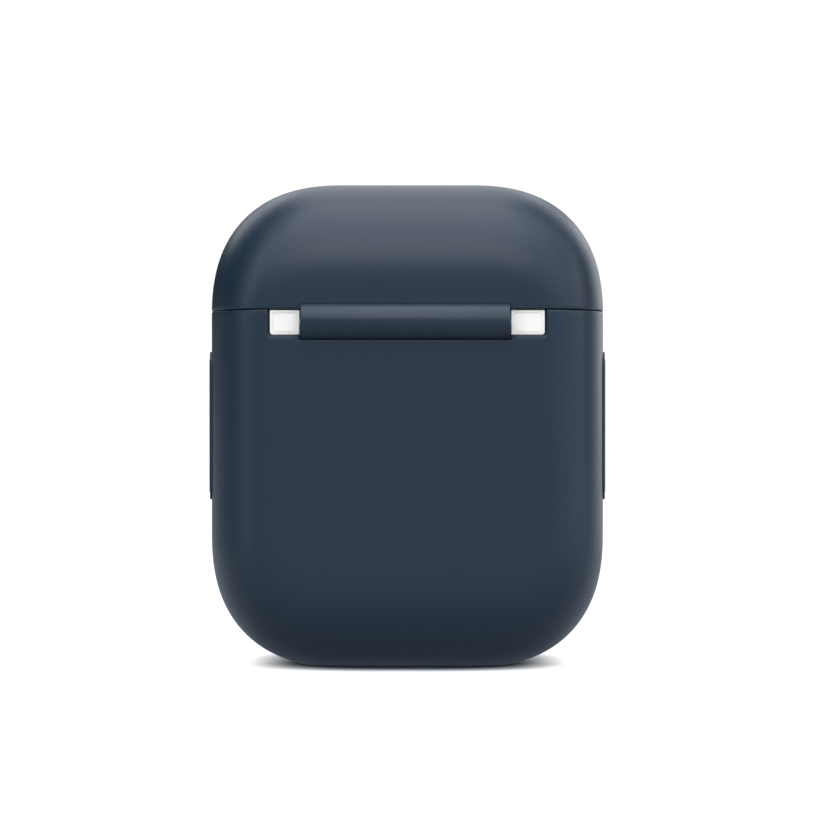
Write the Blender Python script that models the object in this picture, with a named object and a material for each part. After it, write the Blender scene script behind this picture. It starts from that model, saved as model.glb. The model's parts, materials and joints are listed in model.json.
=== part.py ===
"""Wireless earbuds charging case in a fitted cover: shells, hinge, wells, contacts, battery and boards.

Frame: +Z up, the case stands on its bottom, the hinge is at the back (+Y) and the status light
at the front (-Y). Sizes below are millimetres; meshes are written in metres.
"""
import math

import bmesh
import bpy
from mathutils import Vector

MM = 0.001

# Outer form of the cover
HEIGHT = 56.5            # standing height
HALF_W = 23.1            # half width of the lower cover
LID_HALF_W = 23.16       # the lid cover stands a little proud at the seam
HALF_D = 11.75           # half depth
CORNER_LOW = 16.0        # lower corner radius seen from the back
CORNER_HIGH = 15.7       # upper corner radius
CORNER_POWER = 2.41      # squarer than a circle
ROUND_POWER = 2.2        # roundness from the flat back to the sides
FLAT_HALF_W = 15.8       # half width of the flat front and back
FLAT_LOW, FLAT_HIGH = 11.0, 44.5
FLAT_CORNER = 4.0
SUNK = 0.5               # the rounded bottom is cut flat this far above its lowest line

# Walls and gaps
COVER = 1.05             # cover wall
FIT = 0.1                # gap between neighbouring pieces that touch
SHELL = 1.2              # inner case wall
FLOOR_EXTRA = 0.45       # cover floor is thicker than its walls by this
SHELL_OUT = COVER + FIT
SHELL_IN = SHELL_OUT + SHELL
LINER_OUT, LINER_IN = 4.6, 5.4
LINER_LOW = 41.65        # underside of the lid's lining

# Seam and hinge
SEAM = 41.5
SEAM_HALF_GAP = 0.075
HINGE_Y = HALF_D - 1.0
HINGE_Z = SEAM - 1.41
BAR_R = 2.27
BAR_X = (-11.82, 12.26)
BAR_BORE = 0.44
PIN_R = 0.4
PIN_HALF = 15.5
TROUGH_R = BAR_R + 0.15
RELIEF_LIP = 0.05        # skin left outside the hollow under the lid's rim
NOTCH_HALF = 16.07
NOTCH_DEPTH = 3.0
LEDGE_HALF = 15.9        # the notch is this wide below the ledge at its ends
LEDGE_DROP = 0.5
LUG_OUT = 15.8
LUG_BACK, LUG_FACE = 8.4, 11.45
LUG_LOW, LUG_HIGH = 38.6, 41.42
FLANGE_HALF = 11.0
FLANGE_LOW, FLANGE_HIGH = 41.8, 46.7
FLANGE_BACK = 8.0
HINGE_SCREW = (8.0, 45.5)
END_GAP = 0.1

# Side grip pads and status light
GRIP_LOW, GRIP_HIGH = 19.4, 36.8
GRIP_HALF = 3.2          # half width of a pad, front to back
GRIP_CORNER = 1.75
GRIP_RISE = 0.23         # the pad's edge stands this far out of the cover
GRIP_STEP = 0.29         # the raised band inside the edge
GRIP_DISH = 0.21         # the shallow dish inside the band
SEAT_GAP = 0.06          # between a pad and its seat in the cover
SIDE_SPAN = (20.0, 26.0)  # cutters for the pads reach from inside the wall to outside it
LIGHT_Z = 35.7

# Earbud wells
CUP_X, CUP_R, CUP_WALL = 12.0, 5.8, 0.8
STEM_X, STEM_R, STEM_WALL = 9.3, 3.1, 0.8
TRAY = (40.1, 41.1)
SCREWS = (("front", -4.5), ("back", 4.5))
CUP_FLOOR = 33.3
STEM_LOW = 8.6

BAR_TOP = HINGE_Y + BAR_R
BODY_Y = -(BAR_TOP - HALF_D) / 2   # centres the outline, bar included, on Y = 0

MATERIALS = {
    "cover_navy": ((0.032, 0.050, 0.078), 0.55, 0.0),
    "bar_navy": ((0.032, 0.050, 0.078), 0.55, 0.0),
    "grip_navy": ((0.028, 0.045, 0.070), 0.65, 0.0),
    "white_plastic": ((0.86, 0.86, 0.86), 0.25, 0.0),
    "steel": ((0.62, 0.62, 0.63), 0.3, 1.0),
    "contact_gold": ((0.83, 0.62, 0.28), 0.25, 1.0),
    "magnet_nickel": ((0.7, 0.7, 0.68), 0.2, 1.0),
    "battery_foil": ((0.6, 0.61, 0.63), 0.4, 0.9),
    "foam_black": ((0.03, 0.03, 0.03), 0.9, 0.0),
    "board_green": ((0.02, 0.13, 0.07), 0.45, 0.0),
    "chip_black": ((0.02, 0.02, 0.022), 0.5, 0.0),
    "copper": ((0.72, 0.36, 0.18), 0.3, 1.0),
    "ferrite": ((0.09, 0.085, 0.085), 0.7, 0.2),
    "flex_amber": ((0.55, 0.26, 0.05), 0.45, 0.0),
    "light_pipe": ((0.9, 0.93, 0.9), 0.15, 0.0),
}


def clear_scene():
    for old in list(bpy.data.objects):
        bpy.data.objects.remove(old)


def material(slot):
    if slot in bpy.data.materials:
        return bpy.data.materials[slot]
    colour, roughness, metallic = MATERIALS[slot]
    made = bpy.data.materials.new(slot)
    made.use_nodes = True
    shader = made.node_tree.nodes["Principled BSDF"]
    shader.inputs["Base Color"].default_value = (*colour, 1.0)
    shader.inputs["Roughness"].default_value = roughness
    shader.inputs["Metallic"].default_value = metallic
    return made


def finish(name, bm, slot, origin=(0, 0, 0), smooth=True):
    """Turn a bmesh in millimetres into an object in metres whose origin is at `origin`."""
    bmesh.ops.recalc_face_normals(bm, faces=bm.faces[:])
    for vertex in bm.verts:
        vertex.co = (vertex.co - Vector(origin)) * MM
    mesh = bpy.data.meshes.new(name)
    bm.to_mesh(mesh)
    bm.free()
    if smooth:
        mesh.shade_smooth()
        mesh.set_sharp_from_angle(angle=math.radians(35))
    made = bpy.data.objects.new(name, mesh)
    made.location = Vector(origin) * MM
    bpy.context.collection.objects.link(made)
    if slot:
        mesh.materials.append(material(slot))
    else:
        made.hide_render = True
        made.display_type = "WIRE"
    return made


def boolean(target, operation, tools):
    for tool in tools:
        step = target.modifiers.new(tool.name, "BOOLEAN")
        step.operation = operation
        step.solver = "EXACT"
        step.object = tool
    return target


def cut(target, *tools):
    return boolean(target, "DIFFERENCE", tools)


def join(target, *tools):
    return boolean(target, "UNION", tools)


def common(target, *tools):
    return boolean(target, "INTERSECT", tools)


def bevel(made, width, segments=2):
    step = made.modifiers.new("edges", "BEVEL")
    step.width = width * MM
    step.segments = segments
    step.limit_method = "ANGLE"
    return made


def block(name, low, high, slot=None, origin=None, rounding=0.0):
    """A box between two corners, with an optional bevel on its edges."""
    bm = bmesh.new()
    bmesh.ops.create_cube(bm, size=1.0)
    low, high = Vector(low), Vector(high)
    for vertex in bm.verts:
        vertex.co = Vector(
            (low[i] + high[i]) / 2 + vertex.co[i] * (high[i] - low[i]) for i in range(3)
        )
    made = finish(name, bm, slot, origin or (low + high) / 2, smooth=False)
    return bevel(made, rounding) if rounding else made


def turned(name, profile, axis, centre, slot=None, sides=28, stretch=(1.0, 1.0)):
    """Turn a closed profile of (radius, height) points about an axis through `centre`."""
    first, second = {"X": (1, 2), "Y": (2, 0), "Z": (0, 1)}[axis]
    along = "XYZ".index(axis)
    bm = bmesh.new()
    rings = []
    for radius, height in profile:
        ring = []
        for i in range(sides if radius else 1):
            angle = math.tau * i / sides
            place = Vector(centre)
            place[first] += radius * math.cos(angle) * stretch[0]
            place[second] += radius * math.sin(angle) * stretch[1]
            place[along] += height
            ring.append(bm.verts.new(place))
        rings.append(ring)
    closed = bool(profile[0][0])
    pairs = list(zip(rings, rings[1:] + rings[:1])) if closed else list(zip(rings, rings[1:]))
    for one, two in pairs:
        for i in range(sides):
            j = (i + 1) % sides
            corners = [one[i % len(one)], one[j % len(one)], two[j % len(two)], two[i % len(two)]]
            bm.faces.new(list(dict.fromkeys(corners)))
    return finish(name, bm, slot, centre)


def rod(name, axis, centre, radius, half, slot=None, sides=28):
    return turned(name, [(0, -half), (radius, -half), (radius, half), (0, half)], axis, centre, slot, sides)


def power_curve(angle, power):
    """A point on a superellipse quarter: (across, along) for an angle from 0 to 90 degrees."""
    return math.cos(angle) ** (2 / power), math.sin(angle) ** (2 / power)


def outline(half_w, low, high, radii, power, steps):
    """A rounded rectangle in X and Z, with (lower, upper) corner radii, from the right-hand side upwards."""
    points = []
    corners = ((1, 1, 0), (-1, 1, 1), (-1, -1, 2), (1, -1, 3))
    for side, up, turn in corners:
        radius = radii[up > 0]
        x0 = side * (half_w - radius)
        z0 = high - radius if up > 0 else low + radius
        for i in range(steps + 1):
            angle = math.radians(90) * i / steps
            if turn % 2:
                angle = math.radians(90) - angle
            across, along = power_curve(angle, power)
            points.append((x0 + side * radius * across, z0 + up * radius * along))
    return points


def form(name, inset, low, high, slot=None, half_w=HALF_W):
    """The case's pillow form, moved in by `inset` and sliced flat at `low` and `high`."""
    inner = inset > SHELL / 2
    rings, steps = (5, 7) if inner else (7, 9)
    bottom = -SUNK + inset + (FLOOR_EXTRA if inner else 0.0)
    radii = (CORNER_LOW - inset, CORNER_HIGH - inset)
    outer = outline(half_w - inset, bottom, HEIGHT - inset, radii, CORNER_POWER, steps)
    flat = outline(FLAT_HALF_W, FLAT_LOW, FLAT_HIGH, (FLAT_CORNER, FLAT_CORNER), 2.0, steps)
    bm = bmesh.new()
    loops = []
    for k in range(-rings, rings + 1):
        angle = math.radians(90) * abs(k) / rings
        spread, depth = power_curve(angle, ROUND_POWER)
        y = math.copysign(depth, k) * (HALF_D - inset) if k else 0.0
        loops.append([
            bm.verts.new((a[0] + (b[0] - a[0]) * spread, y, a[1] + (b[1] - a[1]) * spread))
            for a, b in zip(flat, outer)
        ])
    for one, two in zip(loops, loops[1:]):
        for i in range(len(one)):
            j = (i + 1) % len(one)
            bm.faces.new((one[i], one[j], two[j], two[i]))
    bm.faces.new(loops[0])
    bm.faces.new(loops[-1])
    for place, direction in ((low, -1), (high, 1)):
        if bottom < place < HEIGHT - inset:
            parts = bm.verts[:] + bm.edges[:] + bm.faces[:]
            done = bmesh.ops.bisect_plane(
                bm, geom=parts, plane_co=(0, 0, place), plane_no=(0, 0, direction), clear_outer=True
            )
            rim = [part for part in done["geom_cut"] if isinstance(part, bmesh.types.BMEdge)]
            bmesh.ops.edgeloop_fill(bm, edges=rim)
    return finish(name, bm, slot)


def prism(name, points, along, slot=None):
    """Sweep a flat outline of points straight along a vector."""
    bm = bmesh.new()
    near = [bm.verts.new(point) for point in points]
    far = [bm.verts.new(Vector(point) + Vector(along)) for point in points]
    bm.faces.new(near)
    bm.faces.new(far)
    for i in range(len(points)):
        j = (i + 1) % len(points)
        bm.faces.new((near[i], near[j], far[j], far[i]))
    return finish(name, bm, slot)


def rounded_slab(name, half_y, low, high, corner, x_low, x_high):
    """A cutter: a prism along X whose outline is a rectangle with round corners."""
    points = []
    steps = 6
    up, down = high - corner, low + corner
    corners = ((1, up, 0), (-1, up, 90), (-1, down, 180), (1, down, 270))
    for side, z, turn in corners:
        for i in range(steps + 1):
            angle = math.radians(turn + 90 * i / steps)
            y = side * (half_y - corner) + corner * math.cos(angle)
            points.append((x_low, y, z + corner * math.sin(angle)))
    return prism(name, points, (x_high - x_low, 0, 0))


def pill(name, half_x, half_y, low, high, slot=None):
    """An upright prism with round ends at its sides, centred on the origin."""
    points = []
    steps = 10
    for side, turn in ((1, -90), (-1, 90)):
        for i in range(steps + 1):
            angle = math.radians(turn + 180 * i / steps)
            across = side * (half_x - half_y) + half_y * math.cos(angle)
            points.append((across, half_y * math.sin(angle)))
    return prism(name, [(x, y, low) for x, y in points], (0, 0, high - low), slot)


SIDES = (("left", 1), ("right", -1))   # left and right seen from behind, where +X is on the left
HINGE = (0, HINGE_Y, HINGE_Z)
BASE_TOP = SEAM - SEAM_HALF_GAP
LID_LOW = SEAM + SEAM_HALF_GAP
SHELL_TOP = BASE_TOP - 0.03
LID_SHELL_LOW = LID_LOW + 0.03


def rim_relief(name):
    """A cutter turned about the hinge: it hollows the lid's rim so that it swings past the lower rim."""
    rise = LID_LOW - HINGE_Z
    curved = LID_HALF_W - FLAT_HALF_W
    end = FLAT_HALF_W + curved * (1 - (HINGE_Y / HALF_D) ** ROUND_POWER) ** (1 / ROUND_POWER)
    steps = 6
    half = []
    for i in range(steps + 1):
        x = FLAT_HALF_W + (end - FLAT_HALF_W) * i / steps
        skin = HALF_D * (1 - ((x - FLAT_HALF_W) / curved) ** ROUND_POWER) ** (1 / ROUND_POWER)
        half.append((math.hypot(skin - HINGE_Y, rise) - RELIEF_LIP, x))
    profile = [(0, -end)] + [(r, -x) for r, x in reversed(half)] + half + [(0, end)]
    return turned(name, profile, "X", HINGE, None, 40)


def hinge_rod(name, radius, low, high, slot=None, sides=40):
    centre = ((low + high) / 2, HINGE_Y, HINGE_Z)
    return rod(name, "X", centre, radius, (high - low) / 2, slot, sides)


def lug_span(sign, extra):
    """The lug's ends in X on one side, moved out by `extra`."""
    inner = BAR_X[1] if sign > 0 else -BAR_X[0]
    return sorted((sign * (inner + END_GAP - extra), sign * (LUG_OUT + extra)))


def grip_cutter(name, sign, inset, end_inset):
    """A pad's outline swept through the side wall, moved in at its sides and at its ends."""
    x_low, x_high = sorted((sign * SIDE_SPAN[0], sign * SIDE_SPAN[1]))
    corner = max(GRIP_CORNER - inset, 0.25)
    low, high = GRIP_LOW + end_inset, GRIP_HIGH - end_inset
    return rounded_slab(name, GRIP_HALF - inset, low, high, corner, x_low, x_high)


def make_covers():
    inside = form("cut_cover_inside", COVER, 1.0, SEAM + 2)
    base = form("cover_base", 0.0, 0.0, BASE_TOP, "cover_navy")
    notch_low = SEAM - NOTCH_DEPTH
    ledge = HALF_D - LEDGE_DROP
    notch = block("cut_notch", (-NOTCH_HALF, ledge, notch_low), (NOTCH_HALF, HALF_D + 2, SEAM + 2))
    bevel(notch, 0.35)
    deep = block("cut_notch_deep", (-LEDGE_HALF, HALF_D - 3, notch_low), (LEDGE_HALF, HALF_D + 1, SEAM + 1))
    trough = hinge_rod("cut_trough", TROUGH_R, BAR_X[0] - END_GAP, BAR_X[1] + END_GAP)
    port = pill("cut_port_cover", 6.8, 2.9, -1.0, 3.0)
    light = rod("cut_light_cover", "Y", (0, -HALF_D, LIGHT_Z), 1.3, 2.0)
    cut(base, inside, notch, deep, trough, port, light)
    for side, sign in SIDES:
        seat = grip_cutter(f"cut_grip_seat_{side}", sign, -SEAT_GAP, -SEAT_GAP)
        cut(seat, form(f"cut_seat_floor_{side}", 0.25, 5.0, 41.0))
        cut(base, seat)
    lid_inside = form("cut_lid_inside", COVER, SEAM - 2, HEIGHT, half_w=LID_HALF_W)
    lid = form("cover_lid", 0.0, LID_LOW, HEIGHT + 1, "cover_navy", half_w=LID_HALF_W)
    bar_room = hinge_rod("cut_bar_room", BAR_R + 0.08, BAR_X[0] - END_GAP, BAR_X[1] + END_GAP)
    relief = rim_relief("cut_relief")
    cut(lid, lid_inside, bar_room, relief)
    return trough, bar_room, relief


def make_grips():
    for side, sign in SIDES:
        pad = form(f"grip_pad_{side}", -GRIP_RISE, 15.0, 40.0, "grip_navy")
        common(pad, grip_cutter(f"cut_grip_low_{side}", sign, 0.0, 0.0))
        step = form(f"cut_grip_step_{side}", -GRIP_STEP, 15.0, 40.0)
        common(step, grip_cutter(f"cut_grip_high_{side}", sign, 0.9, 0.8))
        join(pad, step)
        dish = grip_cutter(f"cut_grip_dish_{side}", sign, 1.7, 1.7)
        cut(dish, form(f"cut_grip_dish_floor_{side}", -GRIP_DISH, 15.0, 40.0))
        cut(pad, dish, form(f"cut_grip_back_{side}", 0.19, 10.0, 45.0))


def make_base_shell(trough):
    shell = form("base_shell", SHELL_OUT, 1.1, SHELL_TOP, "white_plastic")
    cut(shell, form("cut_base_shell_inside", SHELL_IN, 2.3, SEAM + 2))
    join(shell, block("add_hinge_housing", (-16.6, 7.3, 36.2), (16.6, 9.9, SHELL_TOP)))
    cut(shell, trough)
    for side, sign in SIDES:
        low, high = lug_span(sign, FIT)
        pocket_low, pocket_high = (low, LUG_BACK - FIT, LUG_LOW - FIT), (high, HALF_D + 1, SEAM + 1)
        cut(shell, block(f"cut_lug_pocket_{side}", pocket_low, pocket_high))
    cut(shell, pill("cut_port_shell", 4.75, 1.9, 0.0, 4.0))
    cut(shell, rod("cut_button", "Y", (0, 10.0, 20.0), 2.7, 1.5))
    cut(shell, rod("cut_light_shell", "Y", (0, -10.0, LIGHT_Z), 0.9, 1.5))


def make_lid_shells(bar_room, relief):
    shell = form("lid_shell", SHELL_OUT, LID_SHELL_LOW, HEIGHT, "white_plastic", half_w=LID_HALF_W)
    inside = form("cut_lid_shell_inside", SHELL_IN, SEAM - 2, HEIGHT, half_w=LID_HALF_W)
    web_room = block("cut_web_room", (-FLANGE_HALF - 0.3, 7.9, SEAM - 1), (FLANGE_HALF + 0.3, 10.5, 43.4))
    cut(shell, inside, bar_room, relief, web_room)
    liner = form("lid_liner", LINER_OUT, LINER_LOW, HEIGHT, "white_plastic", half_w=LID_HALF_W)
    rim = form("add_liner_rim", SHELL_IN + 0.25, LINER_LOW, LINER_LOW + 0.75, half_w=LID_HALF_W)
    back = block("cut_liner_back", (-FLANGE_HALF - 0.3, 7.75, 39.0), (FLANGE_HALF + 0.3, 12.0, 44.0))
    cut(rim, back, bar_room, relief)
    join(liner, rim)
    cut(liner, form("cut_liner_inside", LINER_IN, SEAM - 2, HEIGHT, half_w=LID_HALF_W))


def make_hinge():
    low, high = BAR_X
    bar = hinge_rod("hinge_bar", BAR_R, low, high, "bar_navy")
    root = (-FLANGE_HALF, FLANGE_BACK, FLANGE_LOW)
    bar_web = block("add_bar_web", root, (FLANGE_HALF, 10.2, 43.2))
    flange = block("add_bar_flange", root, (FLANGE_HALF, FLANGE_BACK + 1.0, FLANGE_HIGH))
    join(bar, bar_web, flange)
    cut(bar, hinge_rod("cut_bar_bore", BAR_BORE, low - 1, high + 1, sides=24))
    hinge_rod("hinge_pin", PIN_R, -PIN_HALF, PIN_HALF, "steel", sides=24)
    for side, sign in SIDES:
        x_low, x_high = lug_span(sign, 0.0)
        lug = block(f"hinge_lug_{side}", (x_low, LUG_BACK, LUG_LOW), (x_high, LUG_FACE, LUG_HIGH),
                    "white_plastic", rounding=0.2)
        cut(lug, hinge_rod(f"cut_lug_bore_{side}", BAR_BORE, x_low - 1, x_high + 1, sides=24))
    profile = [(0, 7.35), (1.0, 7.35), (1.0, 7.9), (0.45, 7.9), (0.45, 9.1), (0, 9.1)]
    screw_x, screw_z = HINGE_SCREW
    for side, sign in SIDES:
        turned(f"hinge_screw_{side}", profile, "Y", (sign * screw_x, 0, screw_z), "steel", 20)
        hole = (sign * screw_x, FLANGE_BACK + 0.5, screw_z)
        cut(bar, rod(f"cut_flange_hole_{side}", "Y", hole, 0.55, 1.2, sides=20))


def make_wells():
    tray = form("tray_plate", SHELL_IN + 0.3, TRAY[0], TRAY[1], "white_plastic")
    for end, y in SCREWS:
        boss = [(0.55, 39.0), (1.3, 39.0), (1.3, 40.5), (0.55, 40.5)]
        join(tray, turned(f"add_tray_boss_{end}", boss, "Z", (0, y, 0), None, 20))
    cut(tray, block("cut_tray_hinge", (-17.0, 7.0, 37.0), (17.0, 12.0, 43.0)))
    outer, wall = CUP_R + CUP_WALL, CUP_R
    tube, bore = STEM_R + STEM_WALL, STEM_R
    for side, sign in SIDES:
        place = (sign * CUP_X, 0, 0)
        cut(tray, rod(f"cut_tray_cup_{side}", "Z", place, outer + FIT, 60, sides=32))
        floor_low = CUP_FLOOR - CUP_WALL
        cup = turned(f"head_cup_{side}", [(0, floor_low), (outer - 1.2, floor_low), (outer, floor_low + 1.2),
                     (outer, TRAY[1]), (wall, TRAY[1]), (wall, CUP_FLOOR + 1.0), (wall - 1.0, CUP_FLOOR),
                     (0, CUP_FLOOR)], "Z", place, "white_plastic", 32)
        stem = (sign * STEM_X, 0, 0)
        cut(cup, rod(f"cut_stem_{side}", "Z", stem, bore, 60, sides=32))
        top = floor_low - FIT
        turned(f"stem_tube_{side}", [(bore, STEM_LOW), (tube, STEM_LOW), (tube, top), (bore, top)],
               "Z", stem, "white_plastic", 32)
        socket = rod(f"contact_block_{side}", "Z", (sign * STEM_X, 0, 7.7), tube, 0.8, "chip_black", 32)
        for end, y in (("front", -1.4), ("back", 1.4)):
            spot = (sign * STEM_X, y, 0)
            cut(socket, rod(f"cut_contact_{side}_{end}", "Z", spot, 0.46, 20, sides=20))
            turned(f"contact_pin_{side}_{end}", [(0, 6.5), (0.4, 6.5), (0.4, 10.0), (0.28, 10.3), (0, 10.4)],
                   "Z", spot, "contact_gold", 20)
        low, high = sorted((sign * 5.6, sign * 12.9))
        block(f"contact_board_{side}", (low, -2.4, 5.2), (high, 2.4, 5.9), "board_green")
    bridge = block("center_bridge", (-2.2, -9.2, 37.7), (2.2, 7.1, 38.9), "white_plastic")
    profile = [(0, 36.9), (1.1, 36.9), (1.1, 37.6), (0.5, 37.6), (0.5, 40.0), (0, 40.0)]
    for end, y in SCREWS:
        turned(f"tray_screw_{end}", profile, "Z", (0, y, 0), "steel", 20)
        cut(bridge, rod(f"cut_bridge_screw_{end}", "Z", (0, y, 38), 0.57, 6, sides=20))


def make_power():
    block("battery", (-13.5, -8.2, 9.5), (13.5, -4.3, 31.7), "battery_foil", rounding=0.5)
    block("battery_pad", (-4.8, -4.2, 12.0), (4.8, -3.7, 29.2), "foam_black")
    block("ferrite_sheet", (-11.0, -8.6, 11.2), (11.0, -8.35, 32.8), "ferrite")
    turned("charging_coil", [(4.5, -9.15), (10.0, -9.15), (10.0, -8.75), (4.5, -8.75)], "Y", (0, 0, 22.0),
           "copper", 32)
    for side, sign in SIDES:
        low, high = sorted((sign * 8.0, sign * 13.0))
        block(f"base_magnet_{side}", (low, -9.0, 36.8), (high, -7.2, 39.6), "magnet_nickel", rounding=0.15)
        block(f"lid_magnet_{side}", (low, -9.1, 42.8), (high, -7.5, 45.6), "magnet_nickel", rounding=0.15)


def make_boards():
    block("main_board", (-14.0, 5.0, 8.5), (14.0, 5.8, 31.7), "board_green")
    block("processor_chip", (-9.0, 5.9, 24.2), (-4.0, 6.9, 29.2), "chip_black", rounding=0.1)
    block("charger_chip", (4.0, 5.9, 24.7), (8.0, 6.7, 28.7), "chip_black", rounding=0.1)
    block("power_inductor", (7.0, 5.9, 18.0), (11.0, 7.7, 22.0), "ferrite", rounding=0.2)
    block("lid_sensor", (-1.2, 5.9, 29.4), (1.2, 6.6, 31.0), "chip_black")
    block("port_board", (-5.0, 1.95, 3.4), (5.0, 2.55, 13.0), "board_green")
    block("board_flex", (-2.0, 2.65, 11.8), (2.0, 4.9, 12.0), "flex_amber")
    shell = pill("port_shell", 4.47, 1.63, 1.5, 8.4, "steel")
    cut(shell, pill("cut_port_mouth", 4.17, 1.3, 0.0, 7.9))
    block("port_tongue", (-3.3, -0.35, 2.6), (3.3, 0.35, 7.7), "chip_black", rounding=0.1)
    block("led_board", (-3.0, -7.5, LIGHT_Z - 1.8), (3.0, -7.0, LIGHT_Z + 1.8), "board_green")
    block("status_led", (-0.8, -8.4, LIGHT_Z - 0.5), (0.8, -7.6, LIGHT_Z + 0.5), "light_pipe")
    turned("light_pipe", [(0, -10.58), (0.8, -10.58), (0.8, -8.6), (0, -8.6)], "Y", (0, 0, LIGHT_Z),
           "light_pipe", 24)


def make_button():
    turned("setup_button", [(0, 8.85), (3.1, 8.85), (3.1, 9.3), (2.6, 9.3), (2.6, 10.4), (2.4, 10.58),
           (0, 10.58)], "Y", (0, 0, 20.0), "white_plastic", 28)
    turned("button_switch", [(0, 7.6), (1.9, 7.6), (1.9, 8.15), (0.7, 8.15), (0.7, 8.4), (0, 8.4)],
           "Y", (0, 0, 20.0), "steel", 24)
    block("switch_bracket", (-3.0, 5.9, 17.0), (3.0, 7.5, 23.0), "chip_black", rounding=0.2)


def main():
    clear_scene()
    trough, bar_room, relief = make_covers()
    make_grips()
    make_base_shell(trough)
    make_lid_shells(bar_room, relief)
    make_hinge()
    make_wells()
    make_power()
    make_boards()
    make_button()
    for made in bpy.data.objects:
        made.location.y += BODY_Y * MM


main()
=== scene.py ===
"""Looks of the wireless earbuds case: smooth covers and shells, materials, camera and light."""
import json
import math

import bmesh
import bpy
import numpy as np
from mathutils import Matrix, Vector


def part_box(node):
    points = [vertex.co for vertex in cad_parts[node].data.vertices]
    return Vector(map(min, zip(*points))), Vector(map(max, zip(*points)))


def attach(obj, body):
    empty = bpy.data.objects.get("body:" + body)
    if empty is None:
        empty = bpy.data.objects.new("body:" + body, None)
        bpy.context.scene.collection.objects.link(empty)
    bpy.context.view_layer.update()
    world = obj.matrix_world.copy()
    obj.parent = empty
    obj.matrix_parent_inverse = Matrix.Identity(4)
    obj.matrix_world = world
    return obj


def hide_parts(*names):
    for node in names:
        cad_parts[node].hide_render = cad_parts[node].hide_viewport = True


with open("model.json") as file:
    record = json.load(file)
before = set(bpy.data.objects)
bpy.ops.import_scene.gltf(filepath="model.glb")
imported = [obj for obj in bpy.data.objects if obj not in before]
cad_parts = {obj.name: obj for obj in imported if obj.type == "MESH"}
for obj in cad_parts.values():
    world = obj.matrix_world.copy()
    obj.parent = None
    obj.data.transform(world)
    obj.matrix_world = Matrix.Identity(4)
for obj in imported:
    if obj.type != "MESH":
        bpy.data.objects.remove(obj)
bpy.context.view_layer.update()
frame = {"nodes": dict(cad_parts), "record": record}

MM = 0.001

# The case's form, in millimetres about the middle of the case, read from the frame where it can be
base_low, base_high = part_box("cover_base")
lid_low, lid_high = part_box("cover_lid")
bar_low, bar_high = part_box("hinge_bar")
BODY_Y = (base_low.y + base_high.y) / 2
HALF_D = (base_high.y - base_low.y) / 2 / MM
HALF_W = (base_high.x - base_low.x) / 2 / MM
LID_HALF_W = (lid_high.x - lid_low.x) / 2 / MM
TOP = lid_high.z / MM
SUNK = 0.5                     # the rounded bottom runs this far below the flat it stands on
CORNER_LOW, CORNER_HIGH, CORNER_POWER = 16.0, 15.7, 2.41
ROUND_POWER = 2.2              # how squarely the flat front and back turn into the sides
FLAT_HALF_W = 15.8
FLAT_LOW, FLAT_HIGH = 11.0, 44.5
FLAT_CORNER = 4.0
FLAT_STEPS, SIDE_STEPS = 12, 30        # points on a quarter of an outline
STEEPEST = 89.4                # degrees at which the rows of a turned end stop
RIM_REACH = 0.6                # a wall's own rows start this far from its rim
QUARTER_TURN = np.radians([0, 22.5, 45, 67.5, 90])

# Seam, walls and hinge
SEAM = (base_high.z + lid_low.z) / 2 / MM
SEAM_GAP = 0.09
COVER, COVER_FLOOR = 1.05, 1.05        # the cover's wall, and the height of its inside floor
SHELL_OUT, SHELL_IN = 1.15, 2.35       # how far the walls of the inner case lie inside the form
SHELL_FLOOR = (1.12, 2.32)
LINER_OUT, LINER_IN = 4.6, 5.4
FLOOR_EXTRA = 0.45
COVER_EDGE, SHELL_EDGE = 0.13, 0.2     # rounding along the moulded rims
BAR_R, BORE_R = 2.27, 0.44
HINGE_Y = HALF_D - 1.0
HINGE_Z = SEAM - 1.41
BAR_X = (bar_low.x / MM, bar_high.x / MM)
TROUGH_R = BAR_R + 0.09
ROOM_R = BAR_R + 0.08          # room for the bar in the inner lid and its lining
RELIEF_LIP = 0.05
NOTCH_HALF, NOTCH_DEPTH = 16.07, 3.0
LEDGE_HALF, LEDGE_DROP = 15.9, 0.5     # the notch is narrower below this depth
BAR_GAP = 0.1
BASE_TOP = SEAM - SEAM_GAP / 2
LID_LOW = SEAM + SEAM_GAP / 2
LUG_OUT, LUG_BACK, LUG_FACE = 15.8, 8.4, 11.45
LUG_LOW, LUG_HIGH = 38.55, 41.42
LUG_ROUND = 0.34
WEB_HALF, WEB_ROOM_HALF = 11.0, 11.3   # the bar's web and flange, and the room cut for them
FLANGE_Y = (8.0, 9.0)
SIDES = (("left", 1), ("right", -1))

# Grip pads; a step is (distance in from the pad's edge, height over the cover)
GRIP_LOW, GRIP_HIGH = 19.4, 36.8
GRIP_HALF, GRIP_CORNER = 3.2, 1.75
GRIP_SUNK = -0.22
GRIP_STEPS = (
    (3.15, GRIP_SUNK), (1.6, GRIP_SUNK), (0.0, GRIP_SUNK), (0.0, 0.15), (0.03, 0.20), (0.08, 0.23),
    (0.82, 0.23), (0.86, 0.24), (0.90, 0.28), (0.95, 0.29), (1.6, 0.29), (1.65, 0.28), (1.7, 0.23),
    (1.75, 0.21), (2.2, 0.21), (2.6, 0.21), (3.15, 0.21),
)

# Openings of the base: the charging port, the status light and the setup button
PORT_HALF, INNER_PORT_HALF = (6.8, 2.9), (4.75, 1.9)
LIGHT_Z, LIGHT_R, INNER_LIGHT_R = 35.7, 1.3, 0.9
BUTTON_Z, BUTTON_R = 20.0, 2.7
INNER_Y = 10.0                 # about the middle of the inner case's front and back walls

# Wells
CUP_X, CUP_R, CUP_WALL = 12.0, 5.8, 0.8
STEM_X, STEM_R, STEM_WALL = 9.3, 3.1, 0.8
TRAY_LOW, TRAY_HIGH = 40.1, 41.1
CUP_FLOOR = 33.3
STEM_LOW = 8.6
SCREW_Y = 4.5


# ---------------------------------------------------------------- mesh helpers

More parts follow.
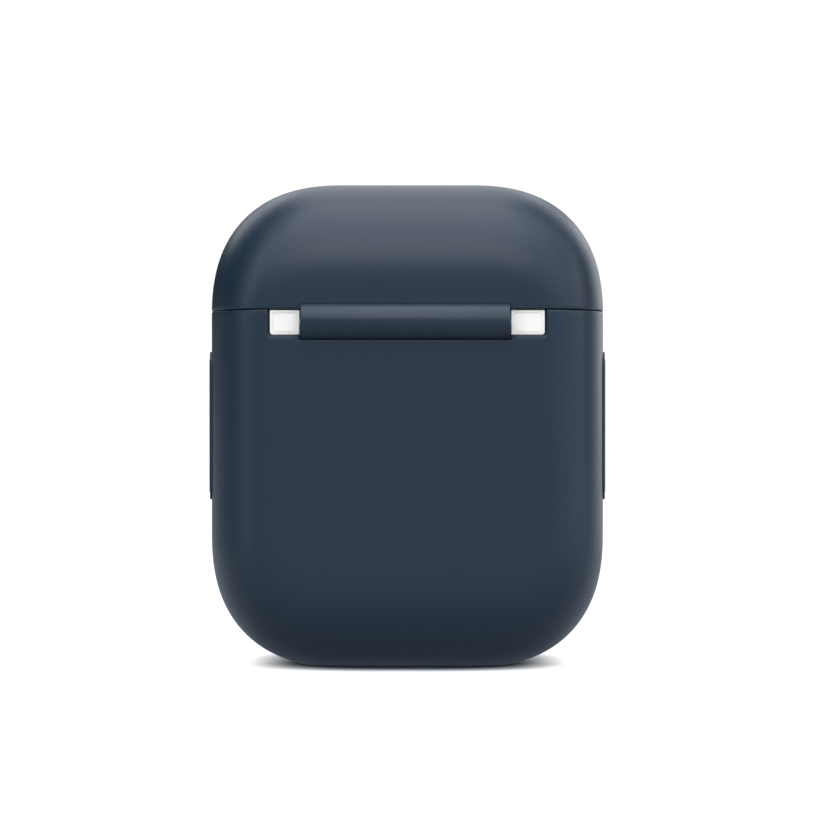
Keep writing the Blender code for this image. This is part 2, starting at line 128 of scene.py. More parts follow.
def to_object(name, bm, sharp=40):
    """A bmesh in millimetres about the case's middle becomes an object in the frame's metres."""
    bmesh.ops.recalc_face_normals(bm, faces=bm.faces[:])
    for vertex in bm.verts:
        vertex.co = vertex.co * MM + Vector((0, BODY_Y, 0))
    mesh = bpy.data.meshes.new(name)
    bm.to_mesh(mesh)
    bm.free()
    piece = bpy.data.objects.new(name, mesh)
    bpy.context.scene.collection.objects.link(piece)
    shade(piece, sharp)
    return piece


def shade(piece, sharp=40):
    piece.data.shade_smooth()
    piece.data.set_sharp_from_angle(angle=math.radians(sharp))


def loft(name, rings, sharp=40):
    """One closed body through a list of closed rings of equal length, capped at both ends."""
    bm = bmesh.new()
    loops = [[bm.verts.new(point) for point in ring] for ring in rings]
    for one, two in zip(loops, loops[1:]):
        for i in range(len(one)):
            j = (i + 1) % len(one)
            bm.faces.new((one[i], one[j], two[j], two[i]))
    bm.faces.new(loops[0])
    bm.faces.new(loops[-1])
    return to_object(name, bm, sharp)


def turned(name, profile, axis, centre, sides=96):
    """Turn (radius, height) points about an axis through `centre`; a profile off the axis is closed."""
    first, second = {"X": (1, 2), "Y": (2, 0), "Z": (0, 1)}[axis]
    along = "XYZ".index(axis)
    bm = bmesh.new()
    circles = []
    for radius, height in profile:
        circle = []
        for i in range(sides if radius else 1):
            angle = math.tau * i / sides
            place = Vector(centre)
            place[first] += radius * math.cos(angle)
            place[second] += radius * math.sin(angle)
            place[along] += height
            circle.append(bm.verts.new(place))
        circles.append(circle)
    followers = circles[1:] + (circles[:1] if profile[0][0] else [])
    for one, two in zip(circles, followers):
        for i in range(sides):
            j = (i + 1) % sides
            corners = [one[i % len(one)], one[j % len(one)], two[j % len(two)], two[i % len(two)]]
            bm.faces.new(list(dict.fromkeys(corners)))
    return to_object(name, bm)


def rod(name, axis, centre, radius, half, sides=96, rounding=0.0):
    """A cylinder of length 2 * half about `centre`, its ends rounded where `rounding` is given."""
    if not rounding:
        profile = [(0, -half), (radius, -half), (radius, half), (0, half)]
        return turned(name, profile, axis, centre, sides)
    low = [(radius - rounding + rounding * math.sin(a), -half + rounding - rounding * math.cos(a))
           for a in QUARTER_TURN]
    high = [(r, -h) for r, h in reversed(low)]
    return turned(name, [(0, -half)] + low + high + [(0, half)], axis, centre, sides)


def block(name, low, high):
    bm = bmesh.new()
    bmesh.ops.create_cube(bm, size=1.0)
    for vertex in bm.verts:
        vertex.co = Vector([(low[i] + high[i]) / 2 + vertex.co[i] * (high[i] - low[i]) for i in range(3)])
    return to_object(name, bm)


def prism(name, points, along):
    """A flat outline carried `along` a vector."""
    bm = bmesh.new()
    near = [bm.verts.new(point) for point in points]
    far = [bm.verts.new(Vector(point) + Vector(along)) for point in points]
    bm.faces.new(near)
    bm.faces.new(far)
    for i in range(len(points)):
        j = (i + 1) % len(points)
        bm.faces.new((near[i], near[j], far[j], far[i]))
    return to_object(name, bm)


def rounded_rectangle(half_x, half_y, radius, steps=12):
    """Points round a rectangle with round corners, centred on the origin."""
    points = []
    for quarter, (side, up) in enumerate(((1, 1), (-1, 1), (-1, -1), (1, -1))):
        for i in range(steps + 1):
            angle = math.radians(90 * quarter + 90 * i / steps)
            points.append((side * (half_x - radius) + radius * math.cos(angle),
                           up * (half_y - radius) + radius * math.sin(angle)))
    return points


def apply_booleans(piece, operation, tools):
    """Join or cut with each tool in turn; the tools are used up."""
    for tool in tools:
        step = piece.modifiers.new(tool.name, "BOOLEAN")
        step.operation = operation
        step.solver = "EXACT"
        step.object = tool
    graph = bpy.context.evaluated_depsgraph_get()
    mesh = bpy.data.meshes.new_from_object(piece.evaluated_get(graph))
    piece.modifiers.clear()
    piece.data = mesh
    for tool in tools:
        bpy.data.objects.remove(tool)
    shade(piece)
    return piece


def cut(piece, *tools):
    return apply_booleans(piece, "DIFFERENCE", tools)


def join(piece, *tools):
    return apply_booleans(piece, "UNION", tools)


def soften(piece, width, wanted, segments=2):
    """Round the sharp edges whose middle, in millimetres about the case's middle, passes `wanted`."""
    sharpest, weld = math.radians(50), 0.004 * MM
    bm = bmesh.new()
    bm.from_mesh(piece.data)
    bmesh.ops.remove_doubles(bm, verts=bm.verts[:], dist=weld)
    bmesh.ops.dissolve_degenerate(bm, edges=bm.edges[:], dist=weld)
    chosen = []
    for edge in bm.edges:
        middle = (edge.verts[0].co + edge.verts[1].co) / 2 - Vector((0, BODY_Y, 0))
        if edge.is_manifold and edge.calc_face_angle(0) > sharpest and wanted(middle / MM):
            chosen.append(edge)
    bmesh.ops.bevel(bm, geom=chosen, offset=width * MM, segments=segments, profile=0.5, affect="EDGES",
                    clamp_overlap=True)
    bm.to_mesh(piece.data)
    bm.free()
    shade(piece)
    return piece


# ---------------------------------------------------------------- the case's form

def powered(angle, power):
    """A point of a superellipse of unit size."""
    return np.cos(angle) ** (2 / power), np.sin(angle) ** (2 / power)


def side_reach(spread, z, half_w, low, high, inset):
    """How far the form reaches in X at height z, for each spread from the flat (0) to the silhouette (1)."""
    up = z > (low + high) / 2
    radius = (CORNER_HIGH if up else CORNER_LOW) - inset

    def mix(flat, outer):
        return (1 - spread) * flat + spread * outer

    def corner_z(angle):
        _, along = powered(angle, CORNER_POWER)
        if up:
            return mix(FLAT_HIGH - FLAT_CORNER + FLAT_CORNER * np.sin(angle), high - radius + radius * along)
        return mix(FLAT_LOW + FLAT_CORNER - FLAT_CORNER * np.sin(angle), low + radius - radius * along)

    near, far = np.zeros_like(spread), np.full_like(spread, math.pi / 2)
    for _ in range(40):
        middle = (near + far) / 2
        short = corner_z(middle) < z if up else corner_z(middle) > z
        near, far = np.where(short, middle, near), np.where(short, far, middle)
    angle = (near + far) / 2
    across, _ = powered(angle, CORNER_POWER)
    return mix(FLAT_HALF_W - FLAT_CORNER + FLAT_CORNER * np.cos(angle), half_w - radius + radius * across)


def ring(z, inset, half_w=HALF_W, floor=0.0):
    """The closed outline of the form, moved in by `inset`, at height z."""
    low, high = -SUNK + inset + floor, TOP - inset
    start = 0.0
    if z > FLAT_HIGH:
        start = (z - FLAT_HIGH) / (high - FLAT_HIGH)
    if z < FLAT_LOW:
        start = (FLAT_LOW - z) / (FLAT_LOW - low)
    first = math.asin(min(start, 1.0) ** (ROUND_POWER / 2))
    angle = np.linspace(first, math.pi / 2, SIDE_STEPS + 1)
    depth, spread = powered(angle, ROUND_POWER)
    depth[-1] = 0.0
    x = side_reach(spread, z, half_w - inset, low, high, inset)
    y = depth * (HALF_D - inset)
    flat = np.linspace(0, x[0], FLAT_STEPS + 1)[:-1]
    xs = np.concatenate([flat, x])
    ys = np.concatenate([np.full_like(flat, y[0]), y])
    quarter = list(zip(xs, ys))
    points = quarter + [(a, -b) for a, b in quarter[-2::-1]]
    points += [(-a, -b) for a, b in quarter[1:]]
    points += [(-a, b) for a, b in quarter[-2:0:-1]]
    return [(float(a), float(b), z) for a, b in points]


def heights_down(start, inset, floor=0.0, stop=0.0):
    """Heights from `start` to the bottom, closer together where the form turns under."""
    straight = list(np.linspace(start, FLAT_LOW, 30)[:-1])
    low = -SUNK + inset + floor
    turn = [FLAT_LOW - (FLAT_LOW - low) * math.sin(a) ** (2 / ROUND_POWER)
            for a in np.radians(np.linspace(0, STEEPEST, 26))]
    return [z for z in straight + turn if z > stop + 0.02] + [max(stop, turn[-1])]


def heights_up(start, inset):
    """Heights from `start` to the top, in the same way."""
    straight = list(np.linspace(start, FLAT_HIGH, 6)[:-1])
    high = TOP - inset
    turn = [FLAT_HIGH + (high - FLAT_HIGH) * math.sin(a) ** (2 / ROUND_POWER)
            for a in np.radians(np.linspace(0, STEEPEST, 34))]
    return straight + turn


def rim(z, wall_out, wall_in, up, radius):
    """(height, inset) from the outer wall over a rounded rim to the inner wall; `up` is 1 or -1."""
    turn = [(z - up * radius * (1 - math.sin(a)), radius * (1 - math.cos(a))) for a in QUARTER_TURN]
    over = [(height, wall_out + inset) for height, inset in turn]
    return over + [(height, wall_in - inset) for height, inset in reversed(turn)]


def base_cup(name, z_top, out, inner, floor_out, floor_in, stop, stop_in, radius):
    """A cup open at the top: outer wall up, rim, and inner wall down."""
    rows = [(z, out, floor_out) for z in heights_down(z_top - RIM_REACH, out, floor_out, stop)[::-1]]
    rows += [(z, inset, 0.0) for z, inset in rim(z_top, out, inner, 1, radius)]
    rows += [(z, inner, floor_in) for z in heights_down(z_top - RIM_REACH, inner, floor_in, stop_in)]
    return loft(name, [ring(z, inset, HALF_W, floor) for z, inset, floor in rows])


def lid_cap(name, z_low, out, inner, radius):
    """A cap open at the bottom."""
    rows = [(z, out) for z in heights_up(z_low + RIM_REACH, out)[::-1]]
    rows += rim(z_low, out, inner, -1, radius)
    rows += [(z, inner) for z in heights_up(z_low + RIM_REACH, inner)]
    return loft(name, [ring(z, inset, LID_HALF_W) for z, inset in rows])


def rim_relief():
    """A cutter turned about the hinge that hollows the lid's rim, so that it swings past the lower rim."""
    rise = LID_LOW - HINGE_Z
    curved = LID_HALF_W - FLAT_HALF_W
    end = FLAT_HALF_W + curved * (1 - (HINGE_Y / HALF_D) ** ROUND_POWER) ** (1 / ROUND_POWER)
    half = []
    for x in np.linspace(FLAT_HALF_W, end, 16):
        skin = HALF_D * (1 - ((x - FLAT_HALF_W) / curved) ** ROUND_POWER) ** (1 / ROUND_POWER)
        half.append((math.hypot(skin - HINGE_Y, rise) - RELIEF_LIP, x))
    profile = [(0, -end)] + [(r, -x) for r, x in reversed(half)] + half + [(0, end)]
    return turned("cut_relief", profile, "X", (0, HINGE_Y, HINGE_Z), 128)


def hinge_rod(name, radius, low, high, rounding=0.0):
    return rod(name, "X", ((low + high) / 2, HINGE_Y, HINGE_Z), radius, (high - low) / 2, 128, rounding)


def bar_room(radius, gap=BAR_GAP):
    """A cutter for the room that the hinge bar turns in."""
    return hinge_rod("cut_bar_room", radius, BAR_X[0] - gap, BAR_X[1] + gap)


def port_mouth(half, z):
    """A cutter for the charging port, its ends round."""
    mouth = [(x, y, z) for x, y in rounded_rectangle(*half, half[1] - 0.01)]
    return prism("cut_port", mouth, (0, 0, 4))


# ---------------------------------------------------------------- covers

def near_hinge(place):
    return abs(place.x) < NOTCH_HALF + 0.3 and place.y > HINGE_Y - 0.3 and SEAM - 5 < place.z < SEAM + 2


def make_base_cover():
    piece = base_cup("lower_cover", BASE_TOP, 0.0, COVER, 0.0, FLOOR_EXTRA, 0.0, COVER_FLOOR, COVER_EDGE)
    notches = []
    for name, half, front in (("cut_notch", NOTCH_HALF, HALF_D - LEDGE_DROP),
                              ("cut_deep", LEDGE_HALF, HALF_D - 3)):
        points = [(x, front, SEAM + z) for x, z in rounded_rectangle(half, NOTCH_DEPTH, 0.4)]
        notches.append(prism(name, points, (0, 6, 0)))
    light = rod("cut_light", "Y", (0, -HALF_D, LIGHT_Z), LIGHT_R, 2.0)
    cut(piece, *notches, bar_room(TROUGH_R), port_mouth(PORT_HALF, -1.0), light)
    soften(piece, 0.1, lambda p: near_hinge(p) and p.y > HALF_D - 0.2)
    soften(piece, 0.25, lambda p: p.z < 0.1 and abs(p.x) < 7.2 and abs(p.y) < 3.2)
    soften(piece, 0.2, lambda p: p.y < -HALF_D + 0.1 and abs(p.x) < 1.6 and abs(p.z - LIGHT_Z) < 1.6)
    return piece


def make_lid_cover():
    piece = lid_cap("lid_cover", LID_LOW, 0.0, COVER, COVER_EDGE)
    return cut(piece, bar_room(BAR_R + 0.03, 0.04), rim_relief())


def side_x(y, z, height):
    """X of the side wall at (y, z), `height` proud of the lower cover."""
    depth = min(abs(y) / (HALF_D + height), 1.0)
    angle = math.acos(depth ** (ROUND_POWER / 2))
    spread = np.array([math.sin(angle) ** (2 / ROUND_POWER)])
    reach = side_reach(spread, z, HALF_W + height, -SUNK - height, TOP + height, -height)
    return float(reach[0])


def make_grip(side, sign):
    """A raised pad of concentric steps that follows the side wall."""
    middle, half_z = (GRIP_LOW + GRIP_HIGH) / 2, (GRIP_HIGH - GRIP_LOW) / 2
    quarter = np.radians(np.linspace(0, 90, 9))
    rings = []
    for offset, height in GRIP_STEPS:
        radius = min(max(GRIP_CORNER - offset, 0.5), GRIP_HALF - offset - 0.01)
        flat_y, flat_z = GRIP_HALF - offset - radius, half_z - offset - radius
        points = []
        for y_side, z_side in ((1, 1), (-1, 1), (-1, -1), (1, -1)):
            turns = quarter if y_side * z_side > 0 else quarter[::-1]
            for a in turns:
                points.append((y_side * (flat_y + radius * math.cos(a)),
                               middle + z_side * (flat_z + radius * math.sin(a))))
            if y_side * z_side < 0:
                for i in range(1, 12):
                    points.append((y_side * (flat_y + radius), middle + z_side * flat_z * (1 - i / 6)))
        rings.append([(sign * side_x(y, z, height), y, z) for y, z in points])
    return loft(f"grip_{side}", rings, sharp=28)


# ---------------------------------------------------------------- inner case

def lug_span(sign, extra):
    inner = BAR_X[1] if sign > 0 else -BAR_X[0]
    return sorted((sign * (inner + BAR_GAP - extra), sign * (LUG_OUT + extra)))


def make_base_shell():
    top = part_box("base_shell")[1].z / MM
    piece = base_cup("inner_base", top, SHELL_OUT, SHELL_IN, FLOOR_EXTRA, FLOOR_EXTRA, *SHELL_FLOOR,
                     SHELL_EDGE)
    join(piece, block("add_housing", (-16.6, 7.3, 36.2), (16.6, 9.9, top)))
    tools = [bar_room(TROUGH_R)]
    for side, sign in SIDES:
        low, high = lug_span(sign, 0.1)
        tools.append(block(f"cut_pocket_{side}", (low, 8.3, LUG_LOW - 0.1), (high, HALF_D + 1, SEAM + 1)))
    tools.append(port_mouth(INNER_PORT_HALF, 0.0))
    tools.append(rod("cut_button", "Y", (0, INNER_Y, BUTTON_Z), BUTTON_R, 1.5))
    tools.append(rod("cut_light", "Y", (0, -INNER_Y, LIGHT_Z), INNER_LIGHT_R, 1.5))
    return cut(piece, *tools)


def make_lid_shell():
    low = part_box("lid_shell")[0].z / MM
    piece = lid_cap("inner_lid", low, SHELL_OUT, SHELL_IN, SHELL_EDGE)
    web = block("cut_web", (-WEB_ROOM_HALF, 7.9, SEAM - 1), (WEB_ROOM_HALF, 10.5, 43.4))
    return cut(piece, bar_room(ROOM_R), rim_relief(), web)


def make_liner():
    """The lid's inner lining: a flange at the seam that turns up into the earbud recess."""
    low, thick = 41.65, 0.75
    out, mouth = SHELL_IN + 0.25, LINER_IN
    fillet = 0.6
    rows = [(z, LINER_OUT) for z in heights_up(low + thick + 0.3, LINER_OUT)[::-1]]
    rows += [(low + thick, LINER_OUT), (low + thick, out), (low + 0.15, out), (low, out + 0.15)]
    for a in QUARTER_TURN:
        rows.append((low + fillet * (1 - math.cos(a)), mouth - fillet + fillet * math.sin(a)))
    rows += [(z, mouth) for z in heights_up(low + 1.0, mouth)]
    piece = loft("lid_lining", [ring(z, inset, LID_HALF_W) for z, inset in rows])
    back = block("cut_back", (-WEB_ROOM_HALF, 7.75, 39.0), (WEB_ROOM_HALF, 12.0, 44.0))
    return cut(piece, back, bar_room(ROOM_R), rim_relief())


def make_tray():
    """The white deck with its two wells, each a round cup with a stem hole in its floor."""
    inset = SHELL_IN + 0.3
    rows = [(TRAY_LOW, inset + 0.1), (TRAY_LOW + 0.1, inset), (TRAY_HIGH - 0.15, inset),
            (TRAY_HIGH, inset + 0.15)]
    piece = loft("earbud_tray", [ring(z, move, HALF_W) for z, move in rows])
    outer = CUP_R + CUP_WALL
    low = CUP_FLOOR - CUP_WALL
    for side, sign in SIDES:
        cup = [(0, low), (outer - 1.2, low), (outer, low + 1.2), (outer, TRAY_HIGH - 0.3),
               (0, TRAY_HIGH - 0.3)]
        join(piece, turned(f"add_cup_{side}", cup, "Z", (sign * CUP_X, 0, 0)))
    tools = [block("cut_hinge_room", (-17.0, 7.0, 37.0), (17.0, 12.0, 43.0))]
    for side, sign in SIDES:
        hollow = [(0, CUP_FLOOR), (CUP_R - 1.6, CUP_FLOOR), (CUP_R - 0.8, CUP_FLOOR + 0.25),
                  (CUP_R - 0.2, CUP_FLOOR + 0.9), (CUP_R, CUP_FLOOR + 1.8), (CUP_R, 46), (0, 46)]
        tools.append(turned(f"cut_head_{side}", hollow, "Z", (sign * CUP_X, 0, 0)))
        tools.append(rod(f"cut_stem_{side}", "Z", (sign * STEM_X, 0, 40), STEM_R, 10))
    cut(piece, *tools)
    boss = [(0.55, TRAY_LOW - 1.1), (1.3, TRAY_LOW - 1.1), (1.3, TRAY_LOW + 0.4), (0.55, TRAY_LOW + 0.4)]
    for y in (-SCREW_Y, SCREW_Y):
        join(piece, turned(f"add_boss{y}", boss, "Z", (0, y, 0), 48))
    return soften(piece, 0.35, lambda p: p.z > TRAY_HIGH - 0.02 and abs(p.y) < 6.2 and abs(p.x) > 4, 4)


def make_lug(side, sign):
    """A white block of the inner case beside the bar, its face set in from its edges by a fine line."""
    x_low, x_high = lug_span(sign, 0.0)
    inner, outer = (x_low, x_high) if sign > 0 else (x_high, x_low)
    points = [(inner, LUG_HIGH), (inner, LUG_LOW)]
    for a in np.radians([0, 15, 30, 45, 60, 75, 90]):
        points.append((outer - sign * LUG_ROUND * (1 - math.sin(a)), LUG_LOW + LUG_ROUND * (1 - math.cos(a))))
    points.append((outer, LUG_HIGH))
    piece = prism(f"lug_{side}", [(x, LUG_BACK, z) for x, z in points], (0, LUG_FACE - LUG_BACK, 0))
    soften(piece, 0.1, lambda p: p.y > LUG_FACE - 0.01, 3)
    frame_in, width, depth = 0.3, 0.1, 0.12
    middle = ((x_low + x_high) / 2, (LUG_LOW + LUG_HIGH) / 2)
    half = ((x_high - x_low) / 2 - frame_in, (LUG_HIGH - LUG_LOW) / 2 - frame_in)
    outline = [(middle[0] + x, LUG_FACE - depth, middle[1] + z) for x, z in rounded_rectangle(*half, 0.25, 6)]
    slot_out = prism(f"cut_line_{side}", outline, (0, 1, 0))
    half_in = (half[0] - width, half[1] - width)
    inline = [(middle[0] + x, LUG_FACE - 1, middle[1] + z) for x, z in rounded_rectangle(*half_in, 0.2, 6)]
    cut(slot_out, prism(f"keep_face_{side}", inline, (0, 3, 0)))
    return cut(piece, slot_out, hinge_rod(f"cut_bore_{side}", BORE_R, x_low - 1, x_high + 1))


def make_bar():
    low, high = BAR_X
    piece = hinge_rod("hinge_barrel", BAR_R, low, high, 0.12)
    corner = (-WEB_HALF, FLANGE_Y[0], 41.8)
    join(piece, block("add_web", corner, (WEB_HALF, 10.2, 43.2)),
         block("add_flange", corner, (WEB_HALF, FLANGE_Y[1], 46.7)))
    tools = [hinge_rod("cut_bore", BORE_R, low - 1, high + 1)]
    for side, sign in SIDES:
        tools.append(rod(f"cut_hole_{side}", "Y", (sign * 8.0, 8.5, 45.5), 0.55, 1.2, 32))
    return cut(piece, *tools)


def make_stem_tube(side, sign):
    top = CUP_FLOOR - CUP_WALL - 0.1
    tube = STEM_R + STEM_WALL
    profile = [(STEM_R, STEM_LOW), (tube, STEM_LOW), (tube, top), (STEM_R, top)]
    return turned(f"stem_well_{side}", profile, "Z", (sign * STEM_X, 0, 0))


# ---------------------------------------------------------------- materials

NAVY = (0.0102, 0.0231, 0.0411)
SHEEN = 0.33
ROUGH_VARY = 0.06


def connect(tree, given, target):
    """Link a socket to `target`, or set `target` to a value."""
    if isinstance(given, bpy.types.NodeSocket):
        tree.links.new(given, target)
    else:
        target.default_value = given


def compute(tree, kind, operation, *inputs, result="Value"):
    """The result of a math node ("Math" or "VectorMath"); each input is a socket or a value."""
    node = tree.nodes.new(f"ShaderNode{kind}")
    node.operation = operation
    for target, given in zip(node.inputs, inputs):
        connect(tree, given, target)
    return node.outputs[result]


def mix_colours(tree, first, second, factor):
    """Colour `first` where the factor is 0 and `second` where it is 1; each is a socket or a colour."""
    node = tree.nodes.new("ShaderNodeMix")
    node.data_type = "RGBA"
    connect(tree, first, node.inputs["A"])
    connect(tree, second, node.inputs["B"])
    connect(tree, factor, node.inputs["Factor"])
    return node.outputs["Result"]


def noise(tree, scale, detail):
    node = tree.nodes.new("ShaderNodeTexNoise")
    node.inputs["Scale"].default_value = scale
    node.inputs["Detail"].default_value = detail
    tree.links.new(tree.nodes.new("ShaderNodeTexCoord").outputs["Object"], node.inputs["Vector"])
    return node.outputs["Fac"]


def procedural(name, colour, roughness, metallic=0.0, vary=0.06, cloud=90.0, grain=9000.0, relief=0.003,
               **sockets):
    """A material with slow colour change, fine roughness change and a fine bump, all from noise."""
    made = bpy.data.materials.new(name)
    made.use_nodes = True
    tree = made.node_tree
    shader = tree.nodes["Principled BSDF"]
    darker = (*[c * (1 - vary) for c in colour], 1)
    lighter = (*[min(c * (1 + vary), 1.0) for c in colour], 1)
    tint = mix_colours(tree, darker, lighter, noise(tree, cloud, 3.0))
    tree.links.new(tint, shader.inputs["Base Color"])
    fine = noise(tree, grain, 2.0)
    spread = tree.nodes.new("ShaderNodeMapRange")
    spread.inputs["To Min"].default_value = max(roughness - ROUGH_VARY, 0.02)
    spread.inputs["To Max"].default_value = min(roughness + ROUGH_VARY, 1.0)
    tree.links.new(fine, spread.inputs["Value"])
    tree.links.new(spread.outputs["Result"], shader.inputs["Roughness"])
    bump = tree.nodes.new("ShaderNodeBump")
    bump.inputs["Strength"].default_value = 1.0
    bump.inputs["Distance"].default_value = relief * MM
    tree.links.new(fine, bump.inputs["Height"])
    tree.links.new(bump.outputs["Normal"], shader.inputs["Normal"])
    shader.inputs["Metallic"].default_value = metallic
    for socket, value in sockets.items():
        shader.inputs[socket.replace("_", " ")].default_value = value
    return made


def soft_touch(name, roughness, relief):
    return procedural(name, NAVY, roughness, vary=0.05, relief=relief, Specular_IOR_Level=SHEEN)


# A look for each material slot, and a duller white for the parts that show only with the lid open
MADE = {
    "cover_navy": soft_touch("cover_soft_touch", 0.40, 0.004),
    "bar_navy": soft_touch("bar_soft_touch", 0.40, 0.003),
    "grip_navy": soft_touch("grip_soft_touch", 0.46, 0.006),
    "white_plastic": procedural("gloss_white", (0.96, 0.93, 0.89), 0.22, vary=0.01, relief=0.0008),
    "inner_white": procedural("satin_white", (0.68, 0.68, 0.68), 0.28, vary=0.01, relief=0.0008),
    "steel": procedural("brushed_steel", (0.6, 0.6, 0.61), 0.3, 1.0, grain=6000.0),
    "contact_gold": procedural("gold_plate", (0.86, 0.62, 0.26), 0.22, 1.0, grain=9000.0, relief=0.001),
    "magnet_nickel": procedural("nickel_plate", (0.68, 0.68, 0.66), 0.2, 1.0, relief=0.001),
    "battery_foil": procedural("pouch_foil", (0.58, 0.59, 0.6), 0.38, 0.9, cloud=300.0, grain=1500.0,
                               relief=0.03),
    "foam_black": procedural("closed_foam", (0.02, 0.02, 0.02), 0.9, vary=0.3, grain=5000.0, relief=0.05),
    "board_green": procedural("solder_mask", (0.015, 0.11, 0.055), 0.35, vary=0.15, cloud=600.0,
                              relief=0.004),
    "chip_black": procedural("moulded_epoxy", (0.018, 0.018, 0.02), 0.55, vary=0.2, relief=0.004),
    "copper": procedural("wound_copper", (0.75, 0.34, 0.16), 0.3, 1.0, cloud=900.0, grain=3000.0,
                         relief=0.02),
    "ferrite": procedural("sintered_ferrite", (0.06, 0.058, 0.058), 0.6, 0.2, vary=0.15, relief=0.008),
    "flex_amber": procedural("polyimide", (0.48, 0.2, 0.03), 0.4, vary=0.1, relief=0.002),
    "light_pipe": procedural("frosted_acrylic", (0.8, 0.82, 0.8), 0.45, vary=0.01, relief=0.0005,
                             Subsurface_Weight=0.3),
}


def dress(piece, look):
    piece.data.materials.clear()
    piece.data.materials.append(MADE[look])


def place_piece(piece, body, slot_name, *nodes, look=None):
    """The piece rides on the body and stands for the CAD nodes; `look` is for one unlike its slot's."""
    dress(piece, look or slot_name)
    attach(piece, body)
    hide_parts(*nodes)


for entry in frame["record"]["subparts"]:
    dress(frame["nodes"][entry["node"]], entry["material_slot"])

place_piece(make_base_cover(), "base", "cover_navy", "cover_base")
place_piece(make_lid_cover(), "lid", "cover_navy", "cover_lid")
place_piece(make_bar(), "lid", "bar_navy", "hinge_bar")
place_piece(make_base_shell(), "base", "white_plastic", "base_shell", look="inner_white")
place_piece(make_lid_shell(), "lid", "white_plastic", "lid_shell", look="inner_white")
place_piece(make_liner(), "lid", "white_plastic", "lid_liner", look="inner_white")
tray_nodes = ("tray_plate", "head_cup_left", "head_cup_right")
place_piece(make_tray(), "base", "white_plastic", *tray_nodes, look="inner_white")
for side_name, side_sign in SIDES:
    place_piece(make_grip(side_name, side_sign), "base", "grip_navy", f"grip_pad_{side_name}")
    place_piece(make_lug(side_name, side_sign), "base", "white_plastic", f"hinge_lug_{side_name}")
    tube = make_stem_tube(side_name, side_sign)
    place_piece(tube, "base", "white_plastic", f"stem_tube_{side_name}", look="inner_white")


# ---------------------------------------------------------------- stage, light and camera

CAMERA_DISTANCE = 0.370        # from the case's middle
CAMERA_HEIGHT = 0.02976
CAMERA_X = -0.000484
LENS_MM = 136.67
BACKDROP = 1.05
PAPER = (0.24, 0.24, 0.24)     # the floor's colour for the light it sends back to the case
PAINTED_SHADOW_PAPER = (0.042, 0.06, 0.081, 1)   # and for the camera: a dark blue that shows where the glow is dimmed, the painted shadow under the case
GLOW = 1.0                     # the light of its own that the camera sees, away from the case; dimmed under it to leave a painted shadow
PAINTED_SHADOW_HALF = (0.0169, 0.0147)   # half sizes of the dim patch under the case, a painted shadow
PAINTED_SHADOW_Y = 0.267                 # the painted shadow's middle lies this many half sizes to the front
PAINTED_SHADOW_EDGE = (0.35, 1.6)       # where the glow starts and is full, as a cube of the reach in half sizes: the painted shadow's soft edge
GLOSSY_GLOW = 0.26             # how bright the whole floor is in reflections, and its colour there
GLOSSY_TINT = (0.72, 0.92, 1.2, 1)
LAMP_SPREAD = math.radians(30)
LAMP_COLOUR = (0.97, 1.0, 1.045)
LAMP_RINGS = {                 # height, then the strength at each azimuth
    90: {0: 1.0},
    60: {0: 0.7, 45: 0.55, 180: 0.5, 270: 0.3, 315: 0.5},
    32: {0: 1.0, 45: 0.6, 150: 0.4, 180: 0.3, 210: 0.35, 270: 0.4, 315: 0.45},
    8: {60: 0.4, 210: 0.4, 270: 0.4, 300: 0.35, 330: 0.25},
}


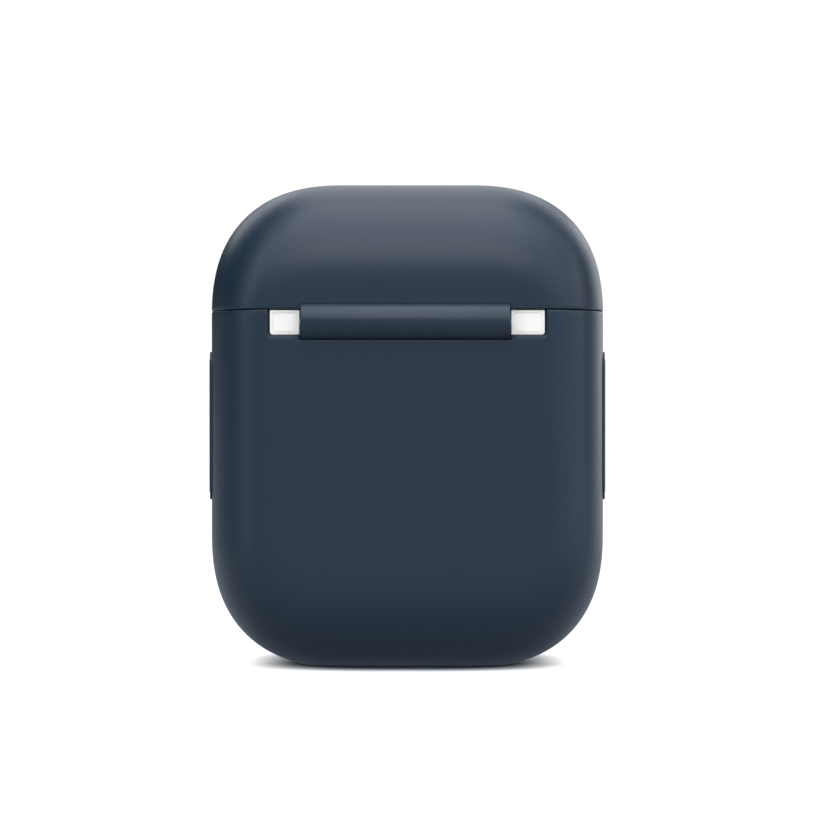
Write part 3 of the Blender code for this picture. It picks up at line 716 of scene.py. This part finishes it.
def make_floor():
    """White paper with its own light, as on a light table, but dim under and near the case, where it shows a
    painted shadow in dark blue.
    """
    bm = bmesh.new()
    bmesh.ops.create_grid(bm, x_segments=8, y_segments=8, size=4.0)
    mesh = bpy.data.meshes.new("floor")
    bm.to_mesh(mesh)
    bm.free()
    floor = bpy.data.objects.new("floor", mesh)
    bpy.context.scene.collection.objects.link(floor)
    paper = procedural("floor_paper_painted_shadow", PAPER, 0.7, vary=0.004, cloud=3.0, grain=800.0, relief=0.002,
                       Specular_IOR_Level=0.2)
    tree = paper.node_tree
    shader = tree.nodes["Principled BSDF"]
    path = tree.nodes.new("ShaderNodeLightPath")
    from_camera, from_gloss = path.outputs["Is Camera Ray"], path.outputs["Is Glossy Ray"]

    def vector(operation, *inputs, result="Vector"):
        return compute(tree, "VectorMath", operation, *inputs, result=result)

    place = tree.nodes.new("ShaderNodeTexCoord").outputs["Object"]
    # A painted shadow: the glow the camera sees fades to nothing in a patch under the case
    fitted = vector("MULTIPLY_ADD", place, (1 / PAINTED_SHADOW_HALF[0], 1 / PAINTED_SHADOW_HALF[1], 0), (0, PAINTED_SHADOW_Y, 0))
    plain = vector("ABSOLUTE", fitted)
    cubed_reach = vector("DOT_PRODUCT", vector("MULTIPLY", plain, plain), plain, result="Value")
    glow = tree.nodes.new("ShaderNodeMapRange")
    glow.interpolation_type = "SMOOTHSTEP"
    glow.inputs["From Min"].default_value, glow.inputs["From Max"].default_value = PAINTED_SHADOW_EDGE
    glow.inputs["To Max"].default_value = GLOW
    tree.links.new(cubed_reach, glow.inputs["Value"])
    direct = compute(tree, "Math", "MULTIPLY", glow.outputs["Result"], from_camera)
    strength = compute(tree, "Math", "MULTIPLY_ADD", from_gloss, GLOSSY_GLOW, direct)
    tree.links.new(strength, shader.inputs["Emission Strength"])
    tint = mix_colours(tree, (1, 1, 1, 1), GLOSSY_TINT, from_gloss)
    tree.links.new(tint, shader.inputs["Emission Color"])
    # The camera sees the floor in the painted shadow's dark blue wherever the glow is dimmed
    colour = shader.inputs["Base Color"]
    tree.links.new(mix_colours(tree, colour.links[0].from_socket, PAINTED_SHADOW_PAPER, from_camera), colour)
    mesh.materials.append(paper)


def make_lamp(azimuth, height, strength):
    """A far, wide lamp; azimuth 0 is behind the camera and 90 is at its left, both in degrees."""
    turn, tilt = math.radians(azimuth), math.radians(height)
    towards = Vector((math.sin(turn) * math.cos(tilt), math.cos(turn) * math.cos(tilt), math.sin(tilt)))
    data = bpy.data.lights.new(f"lamp_{azimuth}_{height}", "SUN")
    data.angle = LAMP_SPREAD
    data.energy = strength
    data.color = LAMP_COLOUR
    lamp = bpy.data.objects.new(data.name, data)
    lamp.rotation_euler = (-towards).to_track_quat("-Z", "Y").to_euler()
    lamp.location = towards
    bpy.context.scene.collection.objects.link(lamp)


def make_world():
    """A white backdrop that only the camera sees; the lamps give all the light."""
    world = bpy.data.worlds.new("studio")
    bpy.context.scene.world = world
    world.use_nodes = True
    tree = world.node_tree
    backdrop = tree.nodes["Background"]
    backdrop.inputs["Color"].default_value = (1, 1, 1, 1)
    path = tree.nodes.new("ShaderNodeLightPath")
    seen = compute(tree, "Math", "MULTIPLY", path.outputs["Is Camera Ray"], BACKDROP)
    tree.links.new(seen, backdrop.inputs["Strength"])


make_floor()
make_world()
for lamp_height, strengths in LAMP_RINGS.items():
    for lamp_azimuth, lamp_strength in strengths.items():
        make_lamp(lamp_azimuth, lamp_height, lamp_strength)

camera_data = bpy.data.cameras.new("camera")
camera_data.lens = LENS_MM
camera_data.sensor_width = 36.0
camera_data.clip_start = 0.01
camera = bpy.data.objects.new("camera", camera_data)
camera.location = (CAMERA_X, BODY_Y + CAMERA_DISTANCE, CAMERA_HEIGHT)
camera.rotation_euler = (math.radians(90), 0, math.radians(180))
bpy.context.scene.collection.objects.link(camera)
bpy.context.scene.camera = camera
bpy.context.scene.view_settings.view_transform = "Standard"
